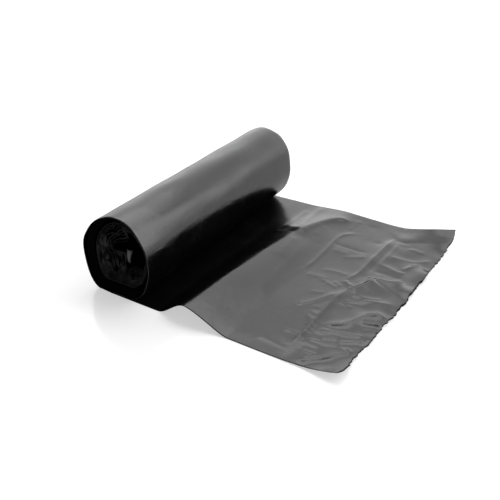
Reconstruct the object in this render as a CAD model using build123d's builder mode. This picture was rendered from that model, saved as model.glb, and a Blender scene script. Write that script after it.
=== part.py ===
from build123d import *
import os

# A roll of bin bags with no core, lying on the floor with its free end pulled out.
# It is one perforated web of folded film: the turns, the hollow they leave in the
# middle and the loose end are a single piece, and so a single solid.
# +X is the way the loose end is pulled, +Y runs along the roll, +Z is up. The origin
# is on the floor, at the middle of the whole part. All in mm.

# The folded web
web_width = 248.0  # which is also the roll's length
web_thickness = 0.6  # folded plies with the air between them
floor_gap = 0.05  # the loose end lies this far off the floor

# The roll's section: an oval that has sagged onto a flat
roll_behind = 36.0  # from the centre line to the side away from the loose end
roll_front = 35.0  # from the centre line to the side that faces the loose end
roll_height = 78.0
widest_behind = 34.0  # height above the floor at which each side is widest
widest_front = 38.0
top_offset = 5.0  # the crown leans towards the loose end
flat_behind = 20.0  # the flat underneath, from the centre line
flat_front = 9.0

# How full each quarter of the oval is: 0.55 is a true ellipse, more is squarer
fullness_top_behind = 0.5
fullness_top_front = 0.56
fullness_foot_behind = 0.64
fullness_foot_front = 0.52

# The ends: outer turns stand proud of the slumped inner ones
rim = 4.0  # thickness of the outer turns
rim_depth = 5.5
inner_turns = 7.0  # thickness of the turns behind the rim
inner_depth = 3.5  # and the innermost turns lie this much deeper still

# The hollow left by the innermost turns, which have fallen against one side
hollow_offset = 14.5  # its middle, towards the loose end
hollow_level = 44.5  # its middle, above the floor
hollow_width = 22.0
hollow_height = 35.0

# The loose end, from the roll to the torn edge
flat_run = 9.0  # stays on the floor this far past the roll's side
tail_near = 172.0  # roll's side to the torn edge, at the near end of the roll
tail_far = 185.5  # and at the far end
hump_near = 13.5  # height of the hump in front of the roll
hump_far = 3.0
hump_reach_near = 35.5  # roll's side to the hump's crest
hump_reach_far = 73.0
hump_fall_near = 45.0  # from the crest down to the floor again
hump_fall_far = 26.0
weld_inset = 46.0  # bottom weld of the bag, back from the torn edge
weld_height = 2.0
weld_half = 5.0  # half the width of the pucker along the weld
corner_run = 36.0  # the free corners start to lift this far from the torn edge
corner_near = 5.0  # lift of the near corner
corner_far = 12.0  # lift of the far corner
corner_near_share = 0.2  # share of the width over which each corner lifts
corner_far_share = 0.35

# The torn perforation
tooth_pitch = 6.2
tooth_depth = 1.2

stations = 13  # sections that the loose end is lofted through
tail_overlap = 2.0  # the lofted sheet starts this far inside the flat strip

half_width = web_width / 2
strip_end = roll_front + flat_run
sheet = web_thickness - 2 * floor_gap
middle = (roll_front + tail_far - roll_behind) / 2  # of the whole part, from the roll's centre line


def quarter(start, finish, level_first, fullness):
    """One quarter of the oval. It leaves start level, or else upright, and ends the other way."""
    run, rise = finish[0] - start[0], finish[1] - start[1]
    if level_first:
        first = (start[0] + fullness * run, start[1])
        second = (finish[0], finish[1] - fullness * rise)
    else:
        first = (start[0], start[1] + fullness * rise)
        second = (finish[0] - fullness * run, finish[1])
    Bezier(start, first, second, finish)


def roll_outline(inset):
    """The roll's section, or the same section that far inside it."""
    foot_behind = (-flat_behind, inset)
    foot_front = (flat_front, inset)
    side_behind = (inset - roll_behind, widest_behind)
    crown = (top_offset, roll_height - inset)
    side_front = (roll_front - inset, widest_front)
    with BuildSketch() as outline:
        with BuildLine():
            quarter(foot_behind, side_behind, True, fullness_foot_behind)
            quarter(side_behind, crown, False, fullness_top_behind)
            quarter(crown, side_front, True, fullness_top_front)
            quarter(side_front, foot_front, False, fullness_foot_front)
            Line(foot_front, foot_behind)
        make_face()
    return outline.sketch


def blend(near, far, share, power=1.0):
    """A size that changes from the near end of the roll to the far one."""
    return near + (far - near) * share**power


def corner_lift(share):
    """How far the torn edge stands off the floor at this share of the web's width."""
    near = max(0.0, 1 - share / corner_near_share)
    far = max(0.0, 1 - (1 - share) / corner_far_share)
    return corner_near * near**2 + corner_far * far**2


def tail_side(share, level):
    """The upper or lower side of the loose end in one section, as a chain of curves."""
    start = roll_front + flat_run - tail_overlap
    crest = roll_front + blend(hump_reach_near, hump_reach_far, share, 2.5)
    hump = blend(hump_near, hump_far, share, 0.8)
    landing = crest + blend(hump_fall_near, hump_fall_far, share)
    torn = roll_front + blend(tail_near, tail_far, share)
    weld = torn - weld_inset
    lift_start = torn - corner_run
    lift = corner_lift(share)
    rise = (crest - start) / 2
    fall = (landing - crest) / 2
    Line((start, level), (start + tail_overlap, level))
    Bezier(
        (start + tail_overlap, level),
        (start + rise, level),
        (crest - rise / 2, level + hump),
        (crest, level + hump),
    )
    Bezier(
        (crest, level + hump),
        (crest + fall, level + hump),
        (landing - fall, level),
        (landing, level),
    )
    Line((landing, level), (weld - weld_half, level))
    Bezier(
        (weld - weld_half, level),
        (weld - weld_half / 2, level),
        (weld - weld_half / 2, level + weld_height),
        (weld, level + weld_height),
    )
    Bezier(
        (weld, level + weld_height),
        (weld + weld_half / 2, level + weld_height),
        (weld + weld_half / 2, level),
        (weld + weld_half, level),
    )
    Line((weld + weld_half, level), (lift_start, level))
    Bezier(
        (lift_start, level),
        (lift_start + corner_run / 2, level),
        (torn - corner_run / 4, level + lift / 2),
        (torn, level + lift),
    )


# The wound turns, with both ends stepped in and the hollow running right through
with BuildPart() as roll:
    with BuildSketch(Plane.XZ.offset(half_width)):
        add(roll_outline(0))
    extrude(amount=-web_width)
    for end in (half_width, -half_width):
        for inset, depth in ((rim, rim_depth), (rim + inner_turns, rim_depth + inner_depth)):
            with BuildSketch(Plane.XZ.offset(end)):
                add(roll_outline(inset))
            extrude(amount=-depth if end > 0 else depth, mode=Mode.SUBTRACT)
    with BuildSketch(Plane.XZ.offset(half_width)):
        with BuildLine():
            Spline(
                (hollow_offset + 0.50 * hollow_width, hollow_level - 0.05 * hollow_height),
                (hollow_offset + 0.30 * hollow_width, hollow_level + 0.40 * hollow_height),
                (hollow_offset - 0.35 * hollow_width, hollow_level + 0.50 * hollow_height),
                (hollow_offset - 0.50 * hollow_width, hollow_level + 0.25 * hollow_height),
                (hollow_offset - 0.25 * hollow_width, hollow_level - 0.10 * hollow_height),
                (hollow_offset + 0.10 * hollow_width, hollow_level - 0.50 * hollow_height),
                periodic=True,
            )
        make_face()
    extrude(amount=-web_width, mode=Mode.SUBTRACT)

# The loose end: a flat strip out from under the roll, then the hump, the weld and the
# lifted corners, cut off along the torn perforation
with BuildPart() as tail:
    for index in range(stations):
        share = index / (stations - 1)
        with BuildSketch(Plane.XZ.offset(half_width - share * web_width)):
            with BuildLine() as section:
                tail_side(share, floor_gap)
                tail_side(share, floor_gap + sheet)
                for x in (strip_end - tail_overlap, roll_front + blend(tail_near, tail_far, share)):
                    z = floor_gap + (corner_lift(share) if x > strip_end else 0)
                    Line((x, z), (x, z + sheet))
            make_face()
    loft(ruled=True)
    teeth = round(web_width / tooth_pitch)
    torn_near = roll_front + tail_near
    torn_far = roll_front + tail_far
    with BuildSketch(Plane.XY):
        with BuildLine():
            zigzag = []
            for index in range(2 * teeth + 1):
                share = index / (2 * teeth)
                depth = tooth_depth if index % 2 else 0
                zigzag.append((blend(torn_near, torn_far, share) - depth, (share - 0.5) * web_width))
            beyond = torn_far + corner_run
            Polyline(*zigzag, (beyond, half_width), (beyond, -half_width), close=True)
        make_face()
    extrude(amount=corner_far + corner_run, mode=Mode.SUBTRACT)

with BuildPart() as bag_roll:
    with Locations((-middle, 0, 0)):
        add(roll.part)
        add(tail.part)
    with Locations((strip_end / 2 - middle, 0, web_thickness / 2)):
        Box(strip_end, web_width, web_thickness)
os.makedirs("parts", exist_ok=True)
bag_roll.part.label = "bag_roll"
export_step(bag_roll.part, "parts/bag_roll.step")
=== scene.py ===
import math

import bmesh
import bpy
import numpy as np
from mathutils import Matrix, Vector


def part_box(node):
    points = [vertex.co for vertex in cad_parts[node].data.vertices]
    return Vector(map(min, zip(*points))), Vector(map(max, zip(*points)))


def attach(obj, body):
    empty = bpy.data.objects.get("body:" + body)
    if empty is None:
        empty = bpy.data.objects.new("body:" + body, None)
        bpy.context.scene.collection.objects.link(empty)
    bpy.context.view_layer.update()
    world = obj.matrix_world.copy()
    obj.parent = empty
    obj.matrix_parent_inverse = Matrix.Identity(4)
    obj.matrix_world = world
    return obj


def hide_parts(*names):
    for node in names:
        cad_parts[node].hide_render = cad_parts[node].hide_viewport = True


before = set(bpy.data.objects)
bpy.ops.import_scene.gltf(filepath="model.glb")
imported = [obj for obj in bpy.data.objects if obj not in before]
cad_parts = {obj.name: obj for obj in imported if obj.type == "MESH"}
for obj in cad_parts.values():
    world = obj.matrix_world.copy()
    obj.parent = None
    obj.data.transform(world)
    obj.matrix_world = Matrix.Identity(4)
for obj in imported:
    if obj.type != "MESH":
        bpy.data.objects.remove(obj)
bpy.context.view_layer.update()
roll_low, roll_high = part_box("bag_roll")

# ---------------------------------------------------------------------------
# The web: one long strip of thin black polythene, folded lengthways and wound up with no core.
# This is its outermost turn, which goes once round the roll, out from underneath and over the
# floor to the last torn perforation. The weld that closes the bag runs across it near that edge.

MM = 0.001
web_width = (roll_high[1] - roll_low[1]) / MM
roll_behind = 36.0  # the centre line to the side away from the loose end
roll_front = 35.0
roll_height = (roll_high[2] - roll_low[2]) / MM
web_thickness = 0.34
foot_level = 1.3  # the crevice in front, where the turn before dives under the roll
strip_start, strip_end = -20.0, 40.0  # the flat stretch, from under the roll to the hump
near_corner_lift, far_corner_lift = 6.8, 13.2


def in_place(x, y, z):
    """Millimetres from the roll's centre line, near end and floor, as metres in the frame."""
    corner = np.array([roll_low[0] + roll_behind * MM, roll_low[1], roll_low[2]])
    return np.stack(np.broadcast_arrays(x, y, z), axis=-1) * MM + corner


def bezier(p0, p1, p2, p3, t):
    t = t[:, None]
    return (
        (1 - t) ** 3 * np.array(p0)
        + 3 * t * (1 - t) ** 2 * np.array(p1)
        + 3 * t**2 * (1 - t) * np.array(p2)
        + t**3 * np.array(p3)
    )


def sagged_oval(count, inset=0.0, foot=0.0):
    """The roll's section, from the crevice in front, over the crown and down to the flat behind."""
    front, back, top = roll_front - inset, inset - roll_behind, roll_height - inset
    corners = [  # where each quarter starts, and how full it is
        ((9.0, foot), 0.52),
        ((front, 38.0), 0.56),
        ((5.0, top), 0.5),
        ((back, 34.0), 0.64),
        ((strip_start, inset), 0),
    ]
    t = np.linspace(0, 1, 60)
    chain = np.array([corners[0][0]])
    for k, ((start, full), (finish, _)) in enumerate(zip(corners, corners[1:])):
        run, rise = finish[0] - start[0], finish[1] - start[1]
        if k % 2 == 0:  # leaves level and arrives upright
            first = (start[0] + full * run, start[1])
            second = (finish[0], finish[1] - full * rise)
        else:
            first = (start[0], start[1] + full * rise)
            second = (finish[0] - full * run, finish[1])
        chain = np.concatenate([chain, bezier(start, first, second, finish, t)[1:]])
    run = np.concatenate([[0], np.cumsum(np.linalg.norm(np.diff(chain, axis=0), axis=1))])
    at = np.linspace(0, run[-1], count)
    return np.stack([np.interp(at, run, chain[:, k]) for k in (0, 1)], axis=1)


def ease(a, b, x):
    t = np.clip((x - a) / (b - a), 0, 1)
    return t * t * (3 - 2 * t)


def waves(x, y, size, seed):
    """Smooth uneven swells about one size across, between about -1 and 1."""
    draw = np.random.default_rng(seed).uniform
    total = 0
    for _ in range(7):
        heading = draw(0, 2 * math.pi)
        pitch = size * draw(0.6, 1.6)
        shift = draw(0, 2 * math.pi)
        run = x * math.cos(heading) + y * math.sin(heading)
        total = total + np.sin(run * 2 * math.pi / pitch + shift)
    return total / 3.5


# Creases in the loose end: height, then how wide its left and right flanks are as one
# goes along it, then the points it passes, from the centre line and the near end.
creases = [
    # the weld, a ridge with a trough behind it, kinked where it was pinched
    (
        1.25, 2.6, 3.2,
        (171, 224), (169.5, 208), (168, 190), (166.5, 172), (165.6, 155), (164.4, 140),
        (161, 130), (156, 121),
    ),
    (-0.5, 2.8, 2.6, (176, 218), (174.5, 205), (173.5, 186), (172, 168), (171, 150), (170, 141)),
    (0.5, 1.5, 3.0, (178, 214), (178, 190), (176, 160)),
    (
        2.3, 3.0, 11.0,
        (168, 113), (166, 106), (164.5, 97), (163.5, 86), (162.5, 76), (162, 64),
        (162, 50), (161, 30), (160, 8),
    ),
    (0.32, 2.2, 2.6, (162, 80), (161.5, 56), (160.6, 28), (160, 3)),
    (0.8, 2.8, 3.0, (162, 99), (157, 92), (152, 84), (147, 77), (141, 70), (136, 65)),
    (1.0, 1.6, 1.6, (168, 117), (163, 119), (158, 123)),
    # the fold that runs from the pinch to the torn end, and the slack film below it
    (2.8, 3.2, 11.0, (167, 109), (172, 114), (176, 121), (179.5, 129), (183, 136)),
    (2.5, 3.8, 9.0, (172, 134), (179, 137), (190, 136.4), (200, 137), (208, 144)),
    (-0.8, 3.0, 4.0, (174, 152), (184, 154), (196, 150), (203, 151)),
    (0.75, 2.6, 2.6, (174, 166), (184, 164.5), (191, 160.5), (198, 158), (203, 163)),
    (1.1, 2.2, 3.4, (196, 165), (200, 170), (205, 177), (209, 183)),
    (0.65, 3.4, 3.4, (176, 183), (190, 183.5), (201, 185), (209, 188), (217, 198)),
    (0.6, 3.0, 3.0, (188, 206), (197, 206), (207, 204)),
    (0.4, 3.2, 3.2, (174, 214), (182, 211), (191, 212)),
    (
        -0.7, 4.5, 5.0,
        (132, 236), (148, 229), (163, 227), (171, 222), (176, 215), (186, 218), (206, 228),
        (218, 226),
    ),
    (0.8, 2.6, 2.6, (168, 93), (176, 94.5), (185, 99), (190, 101.5), (198, 104), (211, 107)),
    (0.5, 1.8, 1.8, (171, 104), (181, 103), (189, 106), (200, 110)),
    (0.5, 1.8, 1.8, (168, 91), (174, 88), (182, 87)),
    (
        2.8, 7.0, 4.0,
        (168, 54), (176, 56), (183, 59), (188, 65), (191.5, 73), (195, 80.5), (201, 85),
        (213, 87),
    ),
    (1.0, 2.0, 2.2, (195, 71), (203, 73), (212, 76)),
    (0.5, 1.8, 1.8, (199, 62), (206, 65), (210, 70)),
    # wrinkles that run in from the torn edge
    (1.0, 2.2, 2.0, (168, 46.5), (179, 47.5), (188, 49.5), (197, 52), (206, 55)),
    (0.6, 1.6, 1.6, (167, 43), (173, 43.5), (180, 45)),
    (0.7, 1.7, 1.7, (176, 36), (182, 39.5), (189, 42)),
    (1.1, 2.4, 2.4, (189, 37), (196, 40.5), (201.5, 46), (208, 51)),
    (0.7, 1.7, 1.7, (167, 30), (175, 32), (184, 31.5), (194, 35)),
    (0.5, 1.6, 1.6, (165, 26.5), (172, 25), (180, 26)),
    (0.5, 1.6, 1.6, (168, 19.5), (175, 18.8), (182, 20)),
    (0.5, 1.6, 1.6, (168, 14), (175, 13), (180, 14)),
    (1.8, 4.5, 4.5, (170, 4), (178, 8), (185, 13), (192, 19.5), (199, 27), (205, 36)),
    (0.6, 2.0, 2.0, (193, 33), (198, 30.5), (203, 32)),
    # before the weld: cross wrinkles and the fan below the pinch
    (-0.5, 2.4, 2.6, (119, 180), (130, 179.5), (146, 179), (159, 180)),
    (0.3, 3.0, 2.4, (125, 169), (135, 168), (143, 169.5)),
    (0.45, 2.4, 2.4, (140, 161), (147, 164.5), (153, 168), (160, 172)),
    (-0.5, 3.0, 3.0, (146, 204), (156, 203.6), (164, 204)),
    (0.5, 3.6, 3.0, (131, 130), (140, 133.5), (150, 134), (160, 132)),
    (0.5, 4.0, 3.0, (122, 117), (134, 117), (144, 119)),
    (0.5, 1.8, 1.8, (138, 115), (146, 112.5), (152, 110), (159, 106.5)),
    (0.5, 1.8, 1.8, (150, 117), (155, 115), (160, 111)),
    (0.4, 1.8, 1.8, (139, 93), (145, 92), (151, 96)),
    (0.4, 1.5, 1.5, (150, 71), (155, 73.5), (160, 72)),
    (0.4, 1.4, 1.4, (152, 65), (157, 63.5), (162, 61)),
    (0.5, 1.6, 1.6, (152, 59), (156, 56), (161, 53)),
    (0.4, 1.8, 1.8, (144, 32), (152, 33), (160, 31)),
    (0.3, 2.2, 2.2, (130, 15), (145, 14), (160, 11)),
    # long soft lines left by the turns
    (
        2.6, 11.0, 4.2,
        (84, 168), (89, 188), (94, 203), (99, 215), (105, 224), (112, 229), (121, 231),
    ),
    (
        0.9, 3.0, 1.6,
        (117, 118), (120, 140), (121, 165), (120, 186), (122, 199), (127.5, 207),
        (137, 211),
    ),
    (0.4, 2.2, 2.2, (112, 92), (113.5, 110), (115, 126)),
    (0.4, 2.2, 2.0, (101, 180), (101, 204)),
    (0.35, 3.0, 3.0, (124, 212), (126, 238)),
    (0.5, 3.0, 4.0, (100, 60), (101, 120), (100, 170)),
    (0.9, 3.2, 3.6, (81, 176), (79.5, 200), (78, 232), (79, 250)),
    (0.7, 2.6, 4.0, (92, 120), (88, 145), (86, 166)),
    (0.7, 2.0, 3.0, (64, 176), (66, 200), (66, 235)),
]
draw = np.random.default_rng(4).uniform
for step in range(15):  # the faint gathers that the hot bar left along the weld
    y = 8 + 5.2 * step + draw(-1.5, 1.5)
    reach = draw(3, 7)
    rise = draw(-1.5, 1.5)
    gather = ((159 - reach, y - rise), (164, y), (164 + reach, y + rise))
    creases.append((draw(0.06, 0.2), 1.2, 1.4, *gather))


def crease_height(x, y, crease):
    """A crease's height over the points x, y. It has a crisp top and dies away at both ends."""
    height, left, right = crease[:3]
    knots = np.array(crease[3:], float)
    span = np.concatenate([[0], np.cumsum(np.linalg.norm(np.diff(knots, axis=0), axis=1))])
    count = max(8, int(span[-1] / 2.5))
    at = np.linspace(0, span[-1], count)
    line = np.stack([np.interp(at, span, knots[:, k]) for k in (0, 1)], axis=1)
    for _ in range(6 if len(knots) > 2 else 0):  # round the knots off
        line[1:-1] = (line[:-2] + 2 * line[1:-1] + line[2:]) / 4
    reach = 5 * max(left, right)
    low, high = line.min(0) - reach, line.max(0) + reach
    near = (x > low[0]) & (x < high[0]) & (y > low[1]) & (y < high[1])
    px, py = x[near], y[near]
    away = np.full(len(px), 1e9)
    side = np.zeros(len(px))
    along = np.zeros(len(px))
    for k in range(count - 1):
        a, d = line[k], line[k + 1] - line[k]
        t = np.clip(((px - a[0]) * d[0] + (py - a[1]) * d[1]) / (d @ d), 0, 1)
        dx, dy = px - a[0] - t * d[0], py - a[1] - t * d[1]
        dist = np.hypot(dx, dy)
        better = dist < away
        away[better] = dist[better]
        side[better] = (d[0] * dy - d[1] * dx)[better]
        along[better] = (at[k] + t * (at[k + 1] - at[k]))[better] / at[-1]
    flank = np.where(side > 0, left, right)
    rounding = 0.35  # square millimetres, so that the top is a narrow round and not an edge
    form = np.exp(-(np.sqrt(away**2 + rounding) - 0.59) / flank)
    fade = ease(0, 0.18, along) * ease(0, 0.18, 1 - along)
    raised = np.zeros_like(x)
    raised[near] = height * form * (0.12 + 0.88 * fade)
    return raised


def loose_end_height(x, y):
    """How far the loose end stands off the floor."""
    # the hump where the web was pushed back towards the roll
    crest = np.interp(y, [0, 60, 120, 170, 205, 228, 248], [70, 72, 75, 82, 92, 101, 107])
    peak = np.interp(y, [0, 30, 70, 120, 180, 220, 248], [15.5, 14.2, 12.5, 9.5, 6.0, 3.4, 1.6])
    before = np.interp(y, [0, 120, 248], [29, 30, 45])
    after = np.interp(y, [0, 120, 248], [41, 40, 26])
    up = np.clip(1 - (crest - x) / before, 0, 1)
    down = np.clip(1 - (x - crest) / after, 0, 1)
    rise = up**2 * (3 - 2 * up)
    fall = 0.45 * down + 0.55 * down**2 * (3 - 2 * down)
    z = peak * np.where(x < crest, rise, fall)
    # it doesn't lie quite flat anywhere, least of all beyond the weld
    z = z + 0.5 * ease(60, 110, x) * (1 + waves(x, y, 70, 1)) * (0.4 + 0.6 * ease(0, 18, y))
    z = z + 0.35 * ease(150, 175, x) * (1 + waves(x, y, 28, 2))
    for crease in creases:
        z = z + crease_height(x, y, crease) * ease(50, 62, x)
    # the near corner bends up about a slanting line, the far one curls right up
    beyond = ((x - 176) * 35 - y * 33) / math.hypot(35, 33)
    z = z + near_corner_lift * np.clip(beyond / 22, 0, 1.3) ** 1.25
    curl = np.clip((x - 172) / 53, 0, 1.1) ** 1.15 * np.clip((y - 208) / 40, 0, 1) ** 1.7
    z = z + far_corner_lift * curl
    # the far side and the torn edge stand a little proud, and the edge is rippled
    z = z + 0.3 * ease(238, 248, y) * ease(85, 110, x) * (0.5 + 0.5 * np.sin(x / 9.0))
    ripple = 0.6 + 0.4 * np.sin(y / 6.5 + 1.0)
    z = z + 3.2 * ease(196, 216, x) * ease(118, 140, y) * ease(118, 146, 312 - y) * ripple
    z = z + 0.9 * ease(200, 216, x) * ease(92, 112, y) * ease(150, 172, 322 - y)
    frill = 0.5 + 0.5 * np.sin(y / 4.0)
    z = z + 1.2 * ease(196, 210, x) * ease(20, 50, y) * ease(0, 30, 118 - y) * frill
    return (np.sqrt(z * z + 0.04) + z) / 2  # never below the floor, with no kink at it


def torn_edge(y):
    """Where the last perforation tore, from the centre line: askew and slightly wavy."""
    along = [0, 6, 30, 45, 75, 105, 118, 140, 192, 222, 238, 248]
    out = [206.0, 208.0, 208.2, 209.9, 212.4, 215.6, 217.2, 217.4, 220.2, 222.6, 223.4, 221.6]
    return np.interp(y, along, out) + 0.7 * np.sin(y / 8.0) * np.sin(y / 21.0)


rows = 216
turn_steps, strip_steps, loose_steps = 52, 6, 148
plain_steps, plain_share = 34, 0.43  # the hump has no fine creases, so it takes fewer columns
across = np.linspace(0, 1, rows)
y = across * web_width
turn = sagged_oval(turn_steps, inset=web_thickness / 2, foot=foot_level)
turn[-1, 1] = turn[-2, 1]
tucked = np.stack([np.linspace(-12, 10, 5), np.full(5, foot_level)], axis=1)
turn = np.concatenate([tucked, turn])
path = np.concatenate([[0], np.cumsum(np.linalg.norm(np.diff(turn, axis=0), axis=1))])
normal = np.gradient(turn, axis=0)
normal = np.stack([normal[:, 1], -normal[:, 0]], axis=1)
normal /= np.linalg.norm(normal, axis=1)[:, None]
# lengthways swells and a few dents: height, how fast they change round the roll, size, seed
swells = ((0.28, 5.0, 130, 11), (0.16, 9.0, 190, 12), (0.3, 1.2, 75, 13))
columns = []
for k, (x, z) in enumerate(turn):
    s = path[k]
    # the last few centimetres of the far end: the turns over the crown have slipped back
    over = ease(112, 119, s) * ease(150, 205, 320 - s)
    slip = over * 3.6 * ease(0.9, 1.0, across)
    slipped = y - slip
    on_roll = ease(20, 45, s) * ease(20, 60, path[-1] - s)
    swell = sum(
        height * waves(np.full(rows, s * pace), slipped, size, seed)
        for height, pace, size, seed in swells
    )
    # the roll is a little fuller towards its far end
    fuller = 0.5 + (1.0 + 1.4 * over) * across * ease(60, 110, s) + 0.8 * ease(135, 165, s)
    rim = ease(0, 1.6, slipped) * ease(0, 4, web_width - slip - slipped)
    out = on_roll * (swell + fuller - 0.3 * (1 - rim))
    level = np.maximum(z + normal[k, 1] * out, web_thickness / 2)
    columns.append(in_place(x + normal[k, 0] * out, slipped, level))
for k in range(1, strip_steps + 1):
    x = strip_start + (strip_end - strip_start) * k / strip_steps
    columns.append(in_place(x, y, web_thickness / 2))
tooth_pitch = 2.2
tooth_at = np.arange(0, 260, tooth_pitch)
tooth = np.interp(y, tooth_at, np.random.default_rng(9).uniform(-0.9, 0.7, len(tooth_at)))
for k in range(1, loose_steps + 1):
    if k <= plain_steps:
        share = plain_share * k / plain_steps
    else:
        share = plain_share + (1 - plain_share) * (k - plain_steps) / (loose_steps - plain_steps)
    x = strip_end + (torn_edge(y) - strip_end) * share + tooth * ease(0.975, 1, share)
    # the film is drawn in where it is lifted or gathered
    drawn = y + 1.2 * ease(150, 200, x) * np.sin(math.pi * across) * np.sin(x / 14.0)
    drawn = drawn - 0.9 * (1 - ease(0, 12, y)) * ease(92, 112, x) * ease(0, 22, 186 - x)
    drawn = drawn - 0.7 * (1 - ease(0, 14, y)) * ease(170, 184, x) * ease(0, 8, 207 - x)
    columns.append(in_place(x, drawn, loose_end_height(x, y) + web_thickness / 2))


def grid_mesh(name, columns):
    """A smooth sheet through columns of points, with the run and the place across as its UV map."""
    points = np.array(columns)
    many, wide = points.shape[:2]
    faces = [
        (i * wide + j, i * wide + j + 1, (i + 1) * wide + j + 1, (i + 1) * wide + j)
        for i in range(many - 1)
        for j in range(wide - 1)
    ]
    mesh = bpy.data.meshes.new(name)
    mesh.from_pydata(points.reshape(-1, 3).tolist(), [], faces)
    steps = np.linalg.norm(np.diff(points[:, wide // 2], axis=0), axis=1)
    run = np.concatenate([[0], np.cumsum(steps)])
    uv = mesh.uv_layers.new(name="web")
    for loop in mesh.loops:
        i, j = divmod(loop.vertex_index, wide)
        uv.data[loop.index].uv = (run[i], j / (wide - 1) * web_width * MM)
    mesh.polygons.foreach_set("use_smooth", [True] * len(mesh.polygons))
    piece = bpy.data.objects.new(name, mesh)
    bpy.context.scene.collection.objects.link(piece)
    return piece


def film_surface():
    """Polythene's surface: fine wrinkles and die lines as a height, and an uneven gloss."""
    group = bpy.data.node_groups.new("film_surface", "ShaderNodeTree")
    face = group.interface
    face.new_socket("Vector", in_out="INPUT", socket_type="NodeSocketVector")
    for name, value in (("Wrinkle Size", 90.0), ("Gloss", 0.2)):
        face.new_socket(name, in_out="INPUT", socket_type="NodeSocketFloat").default_value = value
    face.new_socket("Height", in_out="OUTPUT", socket_type="NodeSocketFloat")
    face.new_socket("Roughness", in_out="OUTPUT", socket_type="NodeSocketFloat")
    nodes, link = group.nodes, group.links.new
    given, result = nodes.new("NodeGroupInput"), nodes.new("NodeGroupOutput")
    stretch = nodes.new("ShaderNodeMapping")
    stretch.inputs["Scale"].default_value = (1.0, 0.45, 1.0)
    link(given.outputs["Vector"], stretch.inputs["Vector"])
    wrinkles = nodes.new("ShaderNodeTexNoise")
    wrinkles.inputs["Detail"].default_value = 3.0
    wrinkles.inputs["Roughness"].default_value = 0.55
    wrinkles.inputs["Distortion"].default_value = 0.6
    link(stretch.outputs["Vector"], wrinkles.inputs["Vector"])
    link(given.outputs["Wrinkle Size"], wrinkles.inputs["Scale"])
    lines = nodes.new("ShaderNodeMapping")
    lines.inputs["Scale"].default_value = (30.0, 900.0, 30.0)
    link(given.outputs["Vector"], lines.inputs["Vector"])
    die = nodes.new("ShaderNodeTexNoise")
    die.inputs["Scale"].default_value = 1.0
    die.inputs["Detail"].default_value = 1.0
    link(lines.outputs["Vector"], die.inputs["Vector"])
    both = nodes.new("ShaderNodeMath")
    both.operation = "MULTIPLY_ADD"
    both.inputs[1].default_value = 0.08
    link(die.outputs["Fac"], both.inputs[0])
    link(wrinkles.outputs["Fac"], both.inputs[2])
    link(both.outputs["Value"], result.inputs["Height"])
    patches = nodes.new("ShaderNodeTexNoise")
    patches.inputs["Scale"].default_value = 35.0
    patches.inputs["Detail"].default_value = 2.0
    link(given.outputs["Vector"], patches.inputs["Vector"])
    spread = nodes.new("ShaderNodeMapRange")
    spread.inputs["From Min"].default_value = 0.3
    spread.inputs["From Max"].default_value = 0.7
    spread.inputs["To Min"].default_value = -0.04
    spread.inputs["To Max"].default_value = 0.05
    link(patches.outputs["Fac"], spread.inputs["Value"])
    gloss = nodes.new("ShaderNodeMath")
    gloss.operation = "ADD"
    link(spread.outputs["Result"], gloss.inputs[0])
    link(given.outputs["Gloss"], gloss.inputs[1])
    link(gloss.outputs["Value"], result.inputs["Roughness"])
    return group


film_group = film_surface()


def film(name, wrinkle_size, gloss, depth, ior=1.56):
    """Black polythene: its colour comes almost wholly from what it reflects."""
    material = bpy.data.materials.new(name)
    material.use_nodes = True
    nodes, link = material.node_tree.nodes, material.node_tree.links.new
    shader = nodes["Principled BSDF"]
    shader.inputs["Base Color"].default_value = (0.002, 0.002, 0.0022, 1)
    shader.inputs["IOR"].default_value = ior
    where = nodes.new("ShaderNodeTexCoord")
    surface = nodes.new("ShaderNodeGroup")
    surface.node_tree = film_group
    surface.inputs["Wrinkle Size"].default_value = wrinkle_size
    surface.inputs["Gloss"].default_value = gloss
    link(where.outputs["Object"], surface.inputs["Vector"])
    link(surface.outputs["Roughness"], shader.inputs["Roughness"])
    bump = nodes.new("ShaderNodeBump")
    bump.inputs["Distance"].default_value = depth
    bump.inputs["Strength"].default_value = 1.0
    link(surface.outputs["Height"], bump.inputs["Height"])
    link(bump.outputs["Normal"], shader.inputs["Normal"])
    # in every reflection the film is drawn plain black: painted shade that darkens the crevice and
    # the folds where one fold mirrors another
    dark = nodes.new("ShaderNodeBsdfDiffuse")
    dark.inputs["Color"].default_value = (0.001, 0.001, 0.0011, 1)
    seen = nodes.new("ShaderNodeLightPath")
    either = nodes.new("ShaderNodeMixShader")
    link(seen.outputs["Is Glossy Ray"], either.inputs["Fac"])
    link(shader.outputs["BSDF"], either.inputs[1])
    link(dark.outputs["BSDF"], either.inputs[2])
    link(either.outputs["Shader"], nodes["Material Output"].inputs["Surface"])
    return material


web = grid_mesh("web", columns)
web.data.materials.append(film("film_outer", 95.0, 0.23, 0.0003))
wall = web.modifiers.new("film", "SOLIDIFY")
wall.thickness = web_thickness * MM
wall.offset = 0
wall.use_even_offset = False
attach(web, "root")
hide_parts("bag_roll")

# ---------------------------------------------------------------------------
# The turns under it: the rest of the web, wound round and round. The outer ones are tight and
# stand proud at both ends. The inner ones have slumped into a crumpled nest, and leave a hollow
# towards the side of the loose end.


def section_curve(name, points):
    """A closed line in the roll's section, as a helper for the winding."""
    data = bpy.data.curves.new(name, "CURVE")
    data.dimensions = "3D"
    spline = data.splines.new("POLY")
    spline.points.add(len(points) - 1)
    for point, (x, z) in zip(spline.points, points):
        point.co = (*in_place(x, 0.0, z), 1)
    spline.use_cyclic_u = True
    helper = bpy.data.objects.new(name, data)
    bpy.context.scene.collection.objects.link(helper)
    return helper


section_points = 150
outer_line = section_curve("outer_line", sagged_oval(section_points, inset=1.5, foot=2.2))
# both lines start at the crevice, so that a turn keeps its place between them
angles = np.linspace(0, 2 * math.pi, section_points, endpoint=False) - 1.15
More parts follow.
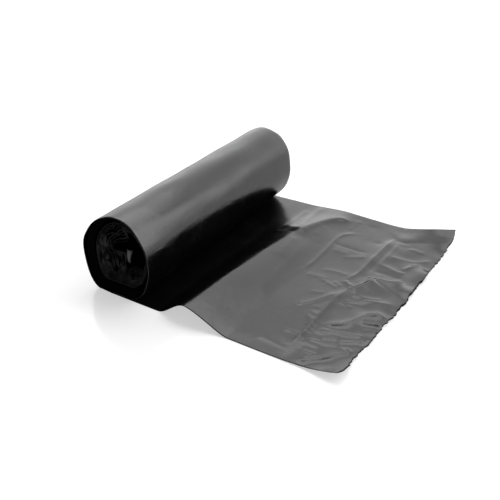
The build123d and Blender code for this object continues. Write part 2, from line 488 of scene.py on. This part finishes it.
# the slumped film has buckled into three folds that stick out to the left
to_left = np.clip(-np.cos(angles), 0, 1) ** 0.8
buckled = to_left * (0.5 - 0.5 * np.cos(angles * 7.0 + 0.5))
hollow_x = 15.5 + (12.0 + 17.0 * buckled) * np.cos(angles)
hollow_z = 43.5 + (17.5 + 7.0 * buckled) * np.sin(angles) - 4.0 * buckled
hollow_line = section_curve("hollow_line", np.stack([hollow_x, hollow_z], axis=1))


def winding_nodes():
    """Winds a grid from the outer line in to the hollow line, turn by turn."""
    tree = bpy.data.node_groups.new("winding", "GeometryNodeTree")
    face = tree.interface
    face.new_socket("Geometry", in_out="INPUT", socket_type="NodeSocketGeometry")
    for name, kind, value in (
        ("Outer Line", "NodeSocketObject", None),
        ("Hollow Line", "NodeSocketObject", None),
        ("Turns", "NodeSocketFloat", 17.0),
        ("Steps", "NodeSocketInt", 1600),
        ("Rows", "NodeSocketInt", 17),
        ("Length", "NodeSocketFloat", 0.248),
        ("Tight Share", "NodeSocketFloat", 0.4),
        ("Tight Thickness", "NodeSocketFloat", 0.0038),
        ("Gap", "NodeSocketFloat", 0.0028),
        ("End Recess", "NodeSocketFloat", 0.0055),
        ("Crumple", "NodeSocketFloat", 1.2),
        ("Tight Material", "NodeSocketMaterial", None),
        ("Material", "NodeSocketMaterial", None),
    ):
        socket = face.new_socket(name, in_out="INPUT", socket_type=kind)
        if value is not None:
            socket.default_value = value
    face.new_socket("Geometry", in_out="OUTPUT", socket_type="NodeSocketGeometry")
    nodes, link = tree.nodes, tree.links.new
    given, result = nodes.new("NodeGroupInput"), nodes.new("NodeGroupOutput")

    def sum_of(operation, *values):
        node = nodes.new("ShaderNodeMath")
        node.operation = operation
        for socket, value in zip(node.inputs, values):
            if isinstance(value, (int, float)):
                socket.default_value = value
            else:
                link(value, socket)
        return node.outputs["Value"]

    def vector(operation, *values, output="Vector"):
        node = nodes.new("ShaderNodeVectorMath")
        node.operation = operation
        for socket, value in zip(node.inputs, values):
            if isinstance(value, tuple):
                socket.default_value = value
            else:
                link(value, socket)
        return node.outputs[output]

    def scaled(value, factor):
        node = nodes.new("ShaderNodeVectorMath")
        node.operation = "SCALE"
        link(value, node.inputs[0])
        if isinstance(factor, float):
            node.inputs["Scale"].default_value = factor
        else:
            link(factor, node.inputs["Scale"])
        return node.outputs["Vector"]

    def along_roll(value):
        node = nodes.new("ShaderNodeCombineXYZ")
        link(value, node.inputs["Y"])
        return node.outputs["Vector"]

    grid = nodes.new("GeometryNodeMeshGrid")
    grid.inputs["Size X"].default_value = 1.0
    grid.inputs["Size Y"].default_value = 1.0
    link(given.outputs["Steps"], grid.inputs["Vertices X"])
    link(given.outputs["Rows"], grid.inputs["Vertices Y"])
    place = nodes.new("GeometryNodeInputPosition")
    parts = nodes.new("ShaderNodeSeparateXYZ")
    link(place.outputs["Position"], parts.inputs["Vector"])
    inwards = sum_of("ADD", parts.outputs["X"], 0.5)
    turns = sum_of("MULTIPLY", inwards, given.outputs["Turns"])
    angle = sum_of("FRACT", turns)
    number = sum_of("FLOOR", turns)
    # from -1 at the near end to 1 at the far one, with the rows crowded towards both
    end = sum_of("MULTIPLY", parts.outputs["Y"], 2.0)
    size = sum_of("ABSOLUTE", end)
    crowded = sum_of("SUBTRACT", 1.0, sum_of("POWER", sum_of("SUBTRACT", 1.0, size), 2.0))
    lengthways = sum_of("MULTIPLY", sum_of("SIGN", end), crowded)

    def sampled(line):
        info = nodes.new("GeometryNodeObjectInfo")
        info.transform_space = "ORIGINAL"
        link(given.outputs[line], info.inputs["Object"])
        sample = nodes.new("GeometryNodeSampleCurve")
        sample.mode = "FACTOR"
        link(info.outputs["Geometry"], sample.inputs["Curves"])
        link(angle, sample.inputs["Factor"])
        return sample

    outer, hollow = sampled("Outer Line"), sampled("Hollow Line")
    inward = vector("CROSS_PRODUCT", outer.outputs["Tangent"], (0.0, 1.0, 0.0))
    tight = sum_of("MINIMUM", sum_of("DIVIDE", inwards, given.outputs["Tight Share"]), 1.0)
    beyond_tight = sum_of("SUBTRACT", inwards, given.outputs["Tight Share"])
    left_over = sum_of("SUBTRACT", 1.0, given.outputs["Tight Share"])
    loose = sum_of("MAXIMUM", sum_of("DIVIDE", beyond_tight, left_over), 0.0)
    is_loose = sum_of("CEIL", loose)
    build_up = sum_of("MULTIPLY", tight, given.outputs["Tight Thickness"])
    air = sum_of("MULTIPLY", is_loose, given.outputs["Gap"])
    packed = vector("ADD", outer.outputs["Position"], scaled(inward, sum_of("ADD", build_up, air)))
    # the slumped turns lie in bunches of three with air between
    bunch = sum_of("SINE", sum_of("MULTIPLY", turns, 2 * math.pi / 3))
    bunching = sum_of("MULTIPLY", sum_of("MULTIPLY", bunch, 0.035), is_loose)
    bunched = sum_of("ADD", loose, bunching)
    blend = nodes.new("ShaderNodeMix")
    blend.data_type = "VECTOR"
    link(sum_of("MAXIMUM", bunched, 0.0), blend.inputs[0])
    link(packed, blend.inputs[4])
    link(hollow.outputs["Position"], blend.inputs[5])
    where = blend.outputs[1]

    # the slumped turns: a noise that changes slowly along the roll pushes them about
    wander = vector("ADD", where, scaled(along_roll(lengthways), 0.05))
    noise = nodes.new("ShaderNodeTexNoise")
    noise.inputs["Scale"].default_value = 85.0
    noise.inputs["Detail"].default_value = 2.0
    noise.inputs["Roughness"].default_value = 0.5
    link(wander, noise.inputs["Vector"])
    push = vector("SUBTRACT", noise.outputs["Color"], (0.5, 0.5, 0.5))
    slack = sum_of("MULTIPLY", sum_of("MULTIPLY", loose, sum_of("SUBTRACT", 1.1, loose)), 2.0)
    room = vector("DISTANCE", packed, hollow.outputs["Position"], output="Value")
    swing = sum_of("MULTIPLY", sum_of("MULTIPLY", slack, room), given.outputs["Crumple"])
    push = scaled(push, swing)
    push = vector("MULTIPLY", push, (1.0, 0.0, 1.0))

    # each turn ends a little in or out of line with the last, and the slumped ones lie deeper
    stray = nodes.new("ShaderNodeTexWhiteNoise")
    stray.noise_dimensions = "1D"
    link(number, stray.inputs["W"])
    uneven = sum_of("MULTIPLY", stray.outputs["Value"], 0.0022)
    ragged = nodes.new("ShaderNodeTexNoise")
    ragged.inputs["Scale"].default_value = 55.0
    link(wander, ragged.inputs["Vector"])
    step_in = sum_of("MULTIPLY", sum_of("GREATER_THAN", loose, 0.001), 0.15)
    funnel = sum_of("ADD", sum_of("MULTIPLY", tight, 0.85), step_in)
    dip = sum_of("MULTIPLY", funnel, given.outputs["End Recess"])
    deeper = sum_of("MULTIPLY", loose, sum_of("MULTIPLY", ragged.outputs["Fac"], 0.009))
    short = sum_of("ADD", sum_of("ADD", uneven, dip), sum_of("ADD", deeper, 0.0004))
    half = sum_of("SUBTRACT", sum_of("MULTIPLY", given.outputs["Length"], 0.5), short)
    at = sum_of("MULTIPLY", lengthways, half)
    # the helper lines lie at the near end, so the middle of the roll is half a length on
    centred = sum_of("ADD", at, sum_of("MULTIPLY", given.outputs["Length"], 0.5))
    final = vector("ADD", vector("ADD", where, push), along_roll(centred))
    move = nodes.new("GeometryNodeSetPosition")
    which = nodes.new("GeometryNodeCaptureAttribute")
    which.capture_items.new("FLOAT", "Inwards")
    link(grid.outputs["Mesh"], which.inputs["Geometry"])
    link(inwards, which.inputs[1])
    link(which.outputs["Geometry"], move.inputs["Geometry"])
    # none of them hangs lower than the floor
    link(vector("MAXIMUM", final, (-10.0, -10.0, 0.0009)), move.inputs["Position"])
    smooth = nodes.new("GeometryNodeSetShadeSmooth")
    link(move.outputs["Geometry"], smooth.inputs["Geometry"])
    real = nodes.new("GeometryNodeRealizeInstances")
    link(smooth.outputs["Geometry"], real.inputs["Geometry"])
    finish = nodes.new("GeometryNodeSetMaterial")
    link(real.outputs["Geometry"], finish.inputs["Geometry"])
    link(given.outputs["Material"], finish.inputs["Material"])
    outside = nodes.new("GeometryNodeSetMaterial")
    link(finish.outputs["Geometry"], outside.inputs["Geometry"])
    is_tight = sum_of("LESS_THAN", which.outputs[1], given.outputs["Tight Share"])
    link(is_tight, outside.inputs["Selection"])
    link(given.outputs["Tight Material"], outside.inputs["Material"])
    link(outside.outputs["Geometry"], result.inputs["Geometry"])
    return tree


def grown(name, tree, values, thickness=None):
    """Runs a node tree with values given by socket name, and keeps the result as a plain mesh."""
    seedling = bpy.data.objects.new(name + "_grown", bpy.data.meshes.new(name + "_grown"))
    bpy.context.scene.collection.objects.link(seedling)
    grower = seedling.modifiers.new("grow", "NODES")
    grower.node_group = tree
    for socket in tree.interface.items_tree:
        if socket.item_type == "SOCKET" and socket.in_out == "INPUT" and socket.name in values:
            grower[socket.identifier] = values[socket.name]
    if thickness:
        wall = seedling.modifiers.new("film", "SOLIDIFY")
        wall.thickness = thickness
        wall.offset = 0
    bpy.context.view_layer.update()
    ready = seedling.evaluated_get(bpy.context.evaluated_depsgraph_get())
    mesh = bpy.data.meshes.new_from_object(ready)
    mesh.name = name
    bpy.data.objects.remove(seedling)
    piece = bpy.data.objects.new(name, mesh)
    bpy.context.scene.collection.objects.link(piece)
    return piece


turns = grown(
    "turns",
    winding_nodes(),
    {
        "Outer Line": outer_line,
        "Hollow Line": hollow_line,
        "Turns": 31.0,
        "Steps": 2200,
        "Rows": 13,
        "Length": web_width * MM,
        "Tight Share": 0.24,
        "Tight Thickness": 0.0031,
        "Gap": 0.0028,
        "End Recess": 0.0055,
        "Crumple": 1.6,
        # the tight turns take a dimmed copy of the film, its IOR lowered: painted shade for the
        # dark end of the roll
        "Tight Material": film("film_packed_shaded", 120.0, 0.4, 0.0003, ior=1.14),
        "Material": film("film_wound", 120.0, 0.3, 0.0004),
    },
    thickness=0.0002,
)
for helper in (outer_line, hollow_line):
    bpy.data.objects.remove(helper)
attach(turns, "root")
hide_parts("bag_roll")

# ---------------------------------------------------------------------------
# The highlight fold: a corner of an inner turn, its pale grey a painted highlight for the glint
# of light on it. It hangs in the mouth of the hollow, as part of the same web.

fold_rows, fold_sides = 9, (-1, -0.5, 0, 0.5, 1)
tongue = []
for k in range(fold_rows):
    share = k / (fold_rows - 1)
    level = 44.5 - 12.5 * share
    half = 2.8 * (1 - share) ** 0.8 + 0.15
    for side in fold_sides:
        depth = 9.5 + 1.6 * side * side - 1.8 * math.sin(2.6 * share)
        tongue.append(in_place(7.6 + half * side - 0.3 * share, depth, level))
tongue_mesh = bpy.data.meshes.new("pale_fold")
wide = len(fold_sides)
corners = [wide * k + j for k in range(fold_rows - 1) for j in range(wide - 1)]
quads = [(c, c + 1, c + wide + 1, c + wide) for c in corners]
tongue_mesh.from_pydata(np.array(tongue).tolist(), [], quads)
tongue_mesh.polygons.foreach_set("use_smooth", [True] * len(quads))
pale_fold = bpy.data.objects.new("pale_fold", tongue_mesh)
bpy.context.scene.collection.objects.link(pale_fold)
wall = pale_fold.modifiers.new("film", "SOLIDIFY")
wall.thickness = 0.0003
highlight_film = film("film_painted_highlight", 120.0, 0.3, 0.0002)
highlight_shader = highlight_film.node_tree.nodes["Principled BSDF"]
# the pale grey base colour is a painted highlight, not the film's own colour
highlight_shader.inputs["Base Color"].default_value = (0.22, 0.22, 0.225, 1)
tongue_mesh.materials.append(highlight_film)
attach(pale_fold, "root")
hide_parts("bag_roll")

# ---------------------------------------------------------------------------
# The stubs of the perforation. Along the torn end the film was held by narrow bridges, and each
# one stretched before it broke and left a small drawn-out tab. Below the edge hangs a strip of the
# dimmed film as a dark lip: a painted shadow for the dark gap under the lifted torn edge.


def stub_nodes():
    """Small tapered tabs along an edge line, each with its own length and slant."""
    tree = bpy.data.node_groups.new("stubs", "GeometryNodeTree")
    face = tree.interface
    face.new_socket("Geometry", in_out="INPUT", socket_type="NodeSocketGeometry")
    for name, kind, value in (
        ("Edge Line", "NodeSocketObject", None),
        ("Count", "NodeSocketInt", 74),
        ("Tab Length", "NodeSocketFloat", 0.0016),
        ("Tab Width", "NodeSocketFloat", 0.001),
        ("Film Thickness", "NodeSocketFloat", 0.0003),
        ("Seed", "NodeSocketInt", 5),
        ("Material", "NodeSocketMaterial", None),
    ):
        socket = face.new_socket(name, in_out="INPUT", socket_type=kind)
        if value is not None:
            socket.default_value = value
    face.new_socket("Geometry", in_out="OUTPUT", socket_type="NodeSocketGeometry")
    nodes, link = tree.nodes, tree.links.new
    given, result = nodes.new("NodeGroupInput"), nodes.new("NodeGroupOutput")
    info = nodes.new("GeometryNodeObjectInfo")
    link(given.outputs["Edge Line"], info.inputs["Object"])
    spots = nodes.new("GeometryNodeCurveToPoints")
    spots.mode = "COUNT"
    link(info.outputs["Geometry"], spots.inputs["Curve"])
    link(given.outputs["Count"], spots.inputs["Count"])
    tab = nodes.new("GeometryNodeMeshCone")
    tab.inputs["Vertices"].default_value = 6
    tab.inputs["Radius Top"].default_value = 0.18
    tab.inputs["Radius Bottom"].default_value = 1.0
    tab.inputs["Depth"].default_value = 1.0
    laid = nodes.new("GeometryNodeTransform")
    laid.inputs["Rotation"].default_value = (0.0, math.pi / 2, 0.0)
    link(tab.outputs["Mesh"], laid.inputs["Geometry"])
    shape = nodes.new("ShaderNodeCombineXYZ")
    link(given.outputs["Tab Length"], shape.inputs["X"])
    link(given.outputs["Tab Width"], shape.inputs["Y"])
    link(given.outputs["Film Thickness"], shape.inputs["Z"])
    flat = nodes.new("GeometryNodeTransform")
    link(laid.outputs["Geometry"], flat.inputs["Geometry"])
    link(shape.outputs["Vector"], flat.inputs["Scale"])
    place = nodes.new("GeometryNodeInstanceOnPoints")
    link(spots.outputs["Points"], place.inputs["Points"])
    link(flat.outputs["Geometry"], place.inputs["Instance"])
    for target, low, high in (
        ("Scale", (0.5, 0.6, 0.8), (1.7, 1.5, 1.1)),
        ("Rotation", (-0.2, -0.3, -0.4), (0.2, -0.05, 0.4)),
    ):
        spread = nodes.new("FunctionNodeRandomValue")
        spread.data_type = "FLOAT_VECTOR"
        spread.inputs[0].default_value = low
        spread.inputs[1].default_value = high
        link(given.outputs["Seed"], spread.inputs["Seed"])
        link(spread.outputs[0], place.inputs[target])
    real = nodes.new("GeometryNodeRealizeInstances")
    link(place.outputs["Instances"], real.inputs["Geometry"])
    finish = nodes.new("GeometryNodeSetMaterial")
    link(real.outputs["Geometry"], finish.inputs["Geometry"])
    link(given.outputs["Material"], finish.inputs["Material"])
    link(finish.outputs["Geometry"], result.inputs["Geometry"])
    return tree


edge_data = bpy.data.curves.new("edge_line", "CURVE")
edge_data.dimensions = "3D"
spline = edge_data.splines.new("POLY")
spline.points.add(rows - 3)
for point, spot in zip(spline.points, columns[-1][1:-1]):
    point.co = (*spot, 1)
edge_line = bpy.data.objects.new("edge_line", edge_data)
bpy.context.scene.collection.objects.link(edge_line)
stubs = grown(
    "torn_stubs",
    stub_nodes(),
    {
        "Edge Line": edge_line,
        "Count": 74,
        "Tab Length": 0.0009,
        "Tab Width": 0.0011,
        "Film Thickness": 0.00016,
        "Seed": 5,
        "Material": bpy.data.materials["film_packed_shaded"],
    },
)
bpy.data.objects.remove(edge_line)
# the painted shadow lip hangs lowest where the edge stands off the floor
shadow_lip = bmesh.new()
shadow_lip.from_mesh(stubs.data)
shadow_slot = stubs.data.materials.find("film_packed_shaded")
last = None
for spot in columns[-1][1:-1]:
    y = (spot[1] - roll_low[1]) / MM
    drop = (0.7 + 2.0 * float(ease(92, 112, y) * ease(150, 172, 322 - y))) * MM
    low = max(spot[2] - drop, 0.15 * MM)
    top = shadow_lip.verts.new((spot[0] + 0.1 * MM, spot[1], spot[2] + 0.2 * MM))
    pair = (top, shadow_lip.verts.new((spot[0] + 0.5 * MM, spot[1], low)))
    if last:
        shadow_lip.faces.new((last[0], last[1], pair[1], pair[0])).material_index = shadow_slot
    last = pair
shadow_lip.to_mesh(stubs.data)
shadow_lip.free()
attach(stubs, "root")
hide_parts("bag_roll")

# ---------------------------------------------------------------------------
# The studio: a glossy white table, a surround that is brightest behind the roll with a soft
# glow from the right, and one long soft light overhead.

floor_mesh = bpy.data.meshes.new("table")
floor_mesh.from_pydata([(-4, -4, 0), (4, -4, 0), (4, 4, 0), (-4, 4, 0)], [], [(0, 1, 2, 3)])
floor = bpy.data.objects.new("table", floor_mesh)
bpy.context.scene.collection.objects.link(floor)
gloss_white = bpy.data.materials.new("gloss_white")
gloss_white.use_nodes = True
nodes, link = gloss_white.node_tree.nodes, gloss_white.node_tree.links.new
shader = nodes["Principled BSDF"]
shader.inputs["Base Color"].default_value = (0.545, 0.545, 0.545, 1)
shader.inputs["Roughness"].default_value = 0.16
# a lift that only the camera sees takes the table up to the white of the background
seen = nodes.new("ShaderNodeLightPath")
lift = nodes.new("ShaderNodeMath")
lift.operation = "MULTIPLY"
lift.inputs[1].default_value = 0.54
link(seen.outputs["Is Camera Ray"], lift.inputs[0])
shader.inputs["Emission Color"].default_value = (1, 1, 1, 1)
link(lift.outputs["Value"], shader.inputs["Emission Strength"])
floor_mesh.materials.append(gloss_white)

world = bpy.data.worlds.new("surround")
bpy.context.scene.world = world
world.use_nodes = True
nodes, link = world.node_tree.nodes, world.node_tree.links.new
back = nodes["Background"]
where = nodes.new("ShaderNodeTexCoord")
brightest = nodes.new("ShaderNodeVectorMath")
brightest.operation = "DOT_PRODUCT"
brightest.inputs[1].default_value = Vector((-0.12, 0.95, 0.2)).normalized()
link(where.outputs["Generated"], brightest.inputs[0])
surround = nodes.new("ShaderNodeMapRange")
surround.interpolation_type = "SMOOTHSTEP"
surround.inputs["From Min"].default_value = 0.2
surround.inputs["From Max"].default_value = 1.0
surround.inputs["To Min"].default_value = 0.15
surround.inputs["To Max"].default_value = 1.8
link(brightest.outputs["Value"], surround.inputs["Value"])
seen = nodes.new("ShaderNodeLightPath")
level = nodes.new("ShaderNodeMix")
link(seen.outputs["Is Camera Ray"], level.inputs[0])
# a softer glow from the right, that the near half of the roll mirrors
glow_side = nodes.new("ShaderNodeVectorMath")
glow_side.operation = "DOT_PRODUCT"
glow_side.inputs[1].default_value = Vector((0.8, 0.42, 0.42)).normalized()
link(where.outputs["Generated"], glow_side.inputs[0])
glow = nodes.new("ShaderNodeMapRange")
glow.interpolation_type = "SMOOTHSTEP"
glow.inputs["From Min"].default_value = 0.86
glow.inputs["From Max"].default_value = 1.0
glow.inputs["To Min"].default_value = 0.0
glow.inputs["To Max"].default_value = 3.2
link(glow_side.outputs["Value"], glow.inputs["Value"])
total = nodes.new("ShaderNodeMath")
total.operation = "ADD"
link(surround.outputs["Result"], total.inputs[0])
link(glow.outputs["Result"], total.inputs[1])
link(total.outputs["Value"], level.inputs[2])
level.inputs[3].default_value = 1.0
back.inputs["Color"].default_value = (1, 1, 1, 1)
link(level.outputs[0], back.inputs["Strength"])

lamp = bpy.data.lights.new("overhead", "AREA")
lamp.shape = "RECTANGLE"
lamp.size, lamp.size_y = 1.5, 0.37
lamp.energy = 4.2
overhead = bpy.data.objects.new("overhead", lamp)
overhead.location = (-0.1, 0.285, 0.66)
aim = Vector((0.0, -0.002, -0.66))
overhead.rotation_euler = aim.to_track_quat("-Z", "Y").to_euler()
bpy.context.scene.collection.objects.link(overhead)

camera_data = bpy.data.cameras.new("camera")
camera_data.sensor_width = 36.0
camera_data.lens = 44.64
camera_data.clip_start = 0.01
camera = bpy.data.objects.new("camera", camera_data)
bpy.context.scene.collection.objects.link(camera)
turned, raised, away = 0.545, 0.534, 0.6108
target = Vector(in_place(55.72, 127.05, 0.0).tolist())
toward = Vector(
    (math.sin(turned) * math.cos(raised), -math.cos(turned) * math.cos(raised), math.sin(raised))
)
camera.location = target + away * toward
camera.rotation_euler = (-toward).to_track_quat("-Z", "Y").to_euler()
bpy.context.scene.camera = camera
bpy.context.scene.view_settings.view_transform = "Standard"
